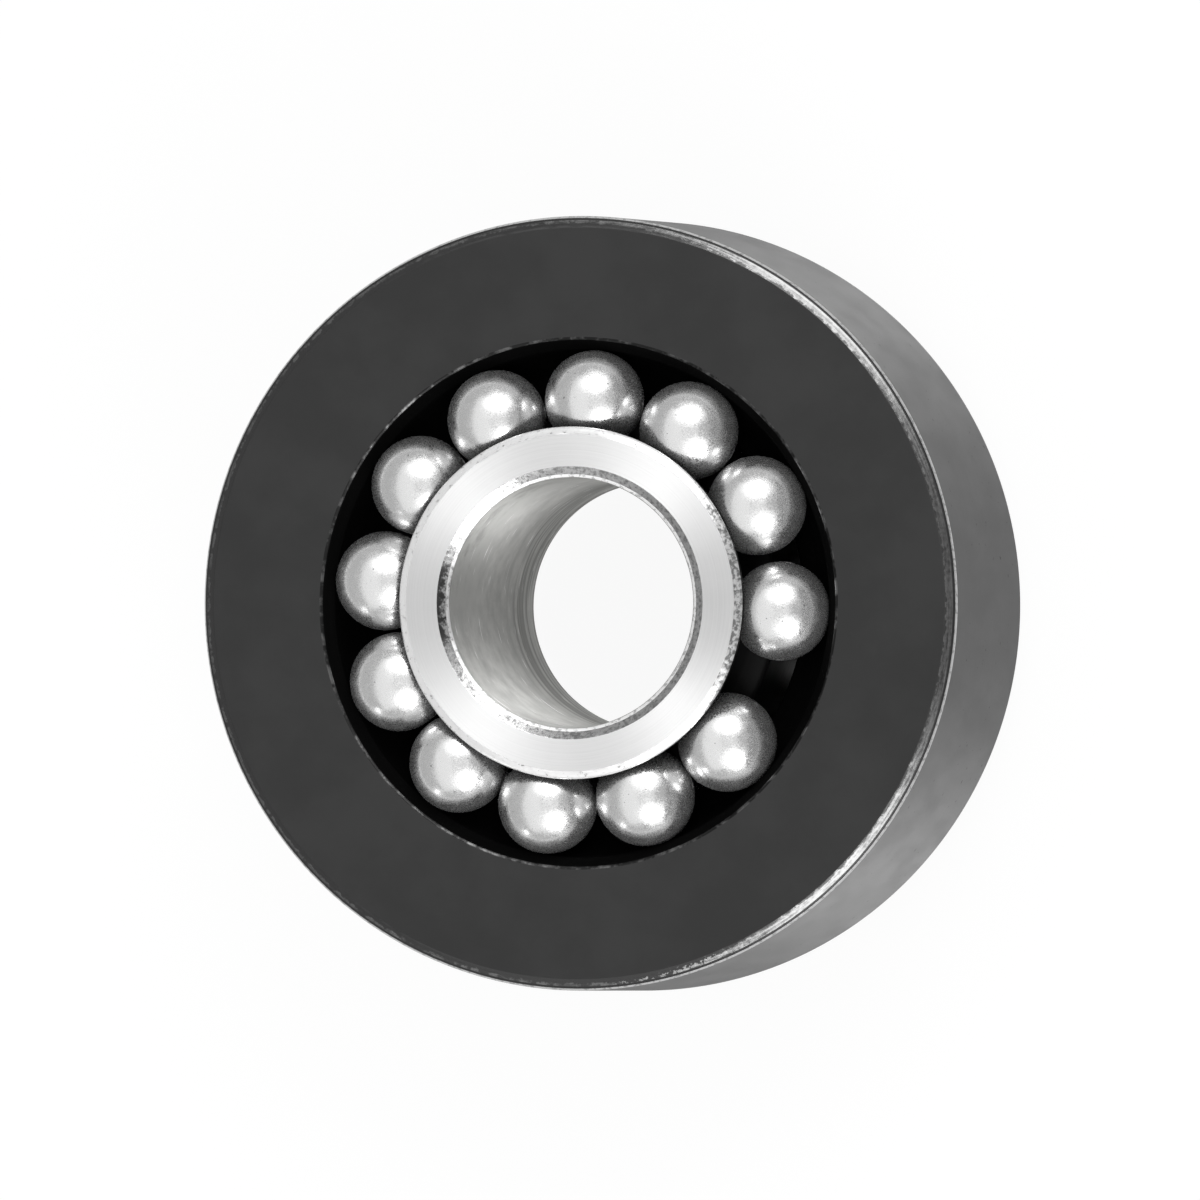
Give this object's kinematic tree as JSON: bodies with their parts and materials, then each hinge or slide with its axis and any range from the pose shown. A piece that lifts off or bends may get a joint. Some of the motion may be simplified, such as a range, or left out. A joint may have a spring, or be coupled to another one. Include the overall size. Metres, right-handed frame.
{
  "type": "ball bearing roller",
  "caption": "Plain cylindrical steel roller turning on rows of loose balls round a longer inner ring with a through bore for an axle.",
  "frame": {"origin": "centre of the roller, on the bore's axis, midway between the inner ring's end faces", "axes": "+Z up along the bore's axis, out of the pictured end; the roller lies on the inner ring's lower end; +X is to the right in the picture and +Y is up in it"},
  "size_m": [0.062, 0.062, 0.03],
  "materials": {
    "blackened_steel": "satin black oxide with a ground grey rim",
    "turned_steel": "bright turned steel",
    "ball_steel": "polished"
  },
  "bodies": {
    "inner_ring": {"inner_ring": "turned_steel"},
    "outer_ring": {"outer_ring": "blackened_steel"},
    "front_ball_01": {"front_ball_01": "ball_steel"},
    "front_ball_02": {"front_ball_02": "ball_steel"},
    "front_ball_03": {"front_ball_03": "ball_steel"},
    "front_ball_04": {"front_ball_04": "ball_steel"},
    "front_ball_05": {"front_ball_05": "ball_steel"},
    "front_ball_06": {"front_ball_06": "ball_steel"},
    "front_ball_07": {"front_ball_07": "ball_steel"},
    "front_ball_08": {"front_ball_08": "ball_steel"},
    "front_ball_09": {"front_ball_09": "ball_steel"},
    "front_ball_10": {"front_ball_10": "ball_steel"},
    "front_ball_11": {"front_ball_11": "ball_steel"},
    "front_ball_12": {"front_ball_12": "ball_steel"},
    "rear_ball_01": {"rear_ball_01": "ball_steel"},
    "rear_ball_02": {"rear_ball_02": "ball_steel"},
    "rear_ball_03": {"rear_ball_03": "ball_steel"},
    "rear_ball_04": {"rear_ball_04": "ball_steel"},
    "rear_ball_05": {"rear_ball_05": "ball_steel"},
    "rear_ball_06": {"rear_ball_06": "ball_steel"},
    "rear_ball_07": {"rear_ball_07": "ball_steel"},
    "rear_ball_08": {"rear_ball_08": "ball_steel"},
    "rear_ball_09": {"rear_ball_09": "ball_steel"},
    "rear_ball_10": {"rear_ball_10": "ball_steel"},
    "rear_ball_11": {"rear_ball_11": "ball_steel"},
    "rear_ball_12": {"rear_ball_12": "ball_steel"}
  },
  "joints": [
    {"name": "roller_spin", "type": "hinge", "parent": "inner_ring", "child": "outer_ring", "pos_m": [0, 0, 0], "axis": [0, 0, 1], "continuous": true},
    {"name": "front_ball_01_orbit", "type": "hinge", "parent": "inner_ring", "child": "front_ball_01", "pos_m": [0, 0, 0], "axis": [0, 0, 1], "continuous": true},
    {"name": "front_ball_02_orbit", "type": "hinge", "parent": "inner_ring", "child": "front_ball_02", "pos_m": [0, 0, 0], "axis": [0, 0, 1], "continuous": true},
    {"name": "front_ball_03_orbit", "type": "hinge", "parent": "inner_ring", "child": "front_ball_03", "pos_m": [0, 0, 0], "axis": [0, 0, 1], "continuous": true},
    {"name": "front_ball_04_orbit", "type": "hinge", "parent": "inner_ring", "child": "front_ball_04", "pos_m": [0, 0, 0], "axis": [0, 0, 1], "continuous": true},
    {"name": "front_ball_05_orbit", "type": "hinge", "parent": "inner_ring", "child": "front_ball_05", "pos_m": [0, 0, 0], "axis": [0, 0, 1], "continuous": true},
    {"name": "front_ball_06_orbit", "type": "hinge", "parent": "inner_ring", "child": "front_ball_06", "pos_m": [0, 0, 0], "axis": [0, 0, 1], "continuous": true},
    {"name": "front_ball_07_orbit", "type": "hinge", "parent": "inner_ring", "child": "front_ball_07", "pos_m": [0, 0, 0], "axis": [0, 0, 1], "continuous": true},
    {"name": "front_ball_08_orbit", "type": "hinge", "parent": "inner_ring", "child": "front_ball_08", "pos_m": [0, 0, 0], "axis": [0, 0, 1], "continuous": true},
    {"name": "front_ball_09_orbit", "type": "hinge", "parent": "inner_ring", "child": "front_ball_09", "pos_m": [0, 0, 0], "axis": [0, 0, 1], "continuous": true},
    {"name": "front_ball_10_orbit", "type": "hinge", "parent": "inner_ring", "child": "front_ball_10", "pos_m": [0, 0, 0], "axis": [0, 0, 1], "continuous": true},
    {"name": "front_ball_11_orbit", "type": "hinge", "parent": "inner_ring", "child": "front_ball_11", "pos_m": [0, 0, 0], "axis": [0, 0, 1], "continuous": true},
    {"name": "front_ball_12_orbit", "type": "hinge", "parent": "inner_ring", "child": "front_ball_12", "pos_m": [0, 0, 0], "axis": [0, 0, 1], "continuous": true},
    {"name": "rear_ball_01_orbit", "type": "hinge", "parent": "inner_ring", "child": "rear_ball_01", "pos_m": [0, 0, 0], "axis": [0, 0, 1], "continuous": true},
    {"name": "rear_ball_02_orbit", "type": "hinge", "parent": "inner_ring", "child": "rear_ball_02", "pos_m": [0, 0, 0], "axis": [0, 0, 1], "continuous": true},
    {"name": "rear_ball_03_orbit", "type": "hinge", "parent": "inner_ring", "child": "rear_ball_03", "pos_m": [0, 0, 0], "axis": [0, 0, 1], "continuous": true},
    {"name": "rear_ball_04_orbit", "type": "hinge", "parent": "inner_ring", "child": "rear_ball_04", "pos_m": [0, 0, 0], "axis": [0, 0, 1], "continuous": true},
    {"name": "rear_ball_05_orbit", "type": "hinge", "parent": "inner_ring", "child": "rear_ball_05", "pos_m": [0, 0, 0], "axis": [0, 0, 1], "continuous": true},
    {"name": "rear_ball_06_orbit", "type": "hinge", "parent": "inner_ring", "child": "rear_ball_06", "pos_m": [0, 0, 0], "axis": [0, 0, 1], "continuous": true},
    {"name": "rear_ball_07_orbit", "type": "hinge", "parent": "inner_ring", "child": "rear_ball_07", "pos_m": [0, 0, 0], "axis": [0, 0, 1], "continuous": true},
    {"name": "rear_ball_08_orbit", "type": "hinge", "parent": "inner_ring", "child": "rear_ball_08", "pos_m": [0, 0, 0], "axis": [0, 0, 1], "continuous": true},
    {"name": "rear_ball_09_orbit", "type": "hinge", "parent": "inner_ring", "child": "rear_ball_09", "pos_m": [0, 0, 0], "axis": [0, 0, 1], "continuous": true},
    {"name": "rear_ball_10_orbit", "type": "hinge", "parent": "inner_ring", "child": "rear_ball_10", "pos_m": [0, 0, 0], "axis": [0, 0, 1], "continuous": true},
    {"name": "rear_ball_11_orbit", "type": "hinge", "parent": "inner_ring", "child": "rear_ball_11", "pos_m": [0, 0, 0], "axis": [0, 0, 1], "continuous": true},
    {"name": "rear_ball_12_orbit", "type": "hinge", "parent": "inner_ring", "child": "rear_ball_12", "pos_m": [0, 0, 0], "axis": [0, 0, 1], "continuous": true}
  ],
  "couplings": [
    {"joint": "front_ball_01_orbit", "follows": "roller_spin", "ratio": 0.6216},
    {"joint": "front_ball_02_orbit", "follows": "roller_spin", "ratio": 0.6216},
    {"joint": "front_ball_03_orbit", "follows": "roller_spin", "ratio": 0.6216},
    {"joint": "front_ball_04_orbit", "follows": "roller_spin", "ratio": 0.6216},
    {"joint": "front_ball_05_orbit", "follows": "roller_spin", "ratio": 0.6216},
    {"joint": "front_ball_06_orbit", "follows": "roller_spin", "ratio": 0.6216},
    {"joint": "front_ball_07_orbit", "follows": "roller_spin", "ratio": 0.6216},
    {"joint": "front_ball_08_orbit", "follows": "roller_spin", "ratio": 0.6216},
    {"joint": "front_ball_09_orbit", "follows": "roller_spin", "ratio": 0.6216},
    {"joint": "front_ball_10_orbit", "follows": "roller_spin", "ratio": 0.6216},
    {"joint": "front_ball_11_orbit", "follows": "roller_spin", "ratio": 0.6216},
    {"joint": "front_ball_12_orbit", "follows": "roller_spin", "ratio": 0.6216},
    {"joint": "rear_ball_01_orbit", "follows": "roller_spin", "ratio": 0.6216},
    {"joint": "rear_ball_02_orbit", "follows": "roller_spin", "ratio": 0.6216},
    {"joint": "rear_ball_03_orbit", "follows": "roller_spin", "ratio": 0.6216},
    {"joint": "rear_ball_04_orbit", "follows": "roller_spin", "ratio": 0.6216},
    {"joint": "rear_ball_05_orbit", "follows": "roller_spin", "ratio": 0.6216},
    {"joint": "rear_ball_06_orbit", "follows": "roller_spin", "ratio": 0.6216},
    {"joint": "rear_ball_07_orbit", "follows": "roller_spin", "ratio": 0.6216},
    {"joint": "rear_ball_08_orbit", "follows": "roller_spin", "ratio": 0.6216},
    {"joint": "rear_ball_09_orbit", "follows": "roller_spin", "ratio": 0.6216},
    {"joint": "rear_ball_10_orbit", "follows": "roller_spin", "ratio": 0.6216},
    {"joint": "rear_ball_11_orbit", "follows": "roller_spin", "ratio": 0.6216},
    {"joint": "rear_ball_12_orbit", "follows": "roller_spin", "ratio": 0.6216}
  ]
}
